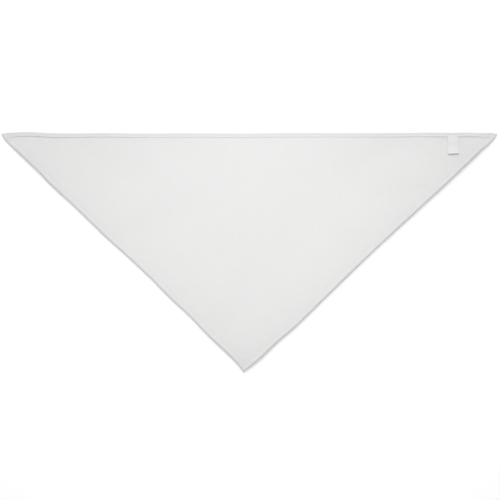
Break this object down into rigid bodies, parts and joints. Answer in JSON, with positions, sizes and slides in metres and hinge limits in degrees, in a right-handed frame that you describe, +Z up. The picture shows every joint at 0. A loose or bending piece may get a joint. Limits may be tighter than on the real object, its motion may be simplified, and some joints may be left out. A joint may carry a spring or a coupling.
{
  "type": "triangular neckerchief",
  "caption": "Plain white triangular neckerchief lying open, hemmed along its long edge and both short sides, with a small blank satin label sewn on at one end.",
  "frame": {"origin": "centre of the cloth's outline, at the surface it lies on", "axes": "+X along the long edge towards the label's end, +Y from the apex to the long edge, +Z up from the side with the turned hems"},
  "size_m": [1.002, 0.4846, 0.0093],
  "materials": {
    "cotton_cloth": "matte plain weave, bleached white",
    "hemmed_cloth": "matte plain weave, folded and stitched",
    "label_satin": "smooth satin ribbon, faint sheen"
  },
  "bodies": {
    "root": {"cloth_panel": "cotton_cloth", "long_edge_hem": "hemmed_cloth", "left_side_hem": "hemmed_cloth", "right_side_hem": "hemmed_cloth", "care_label": "label_satin"}
  },
  "joints": []
}
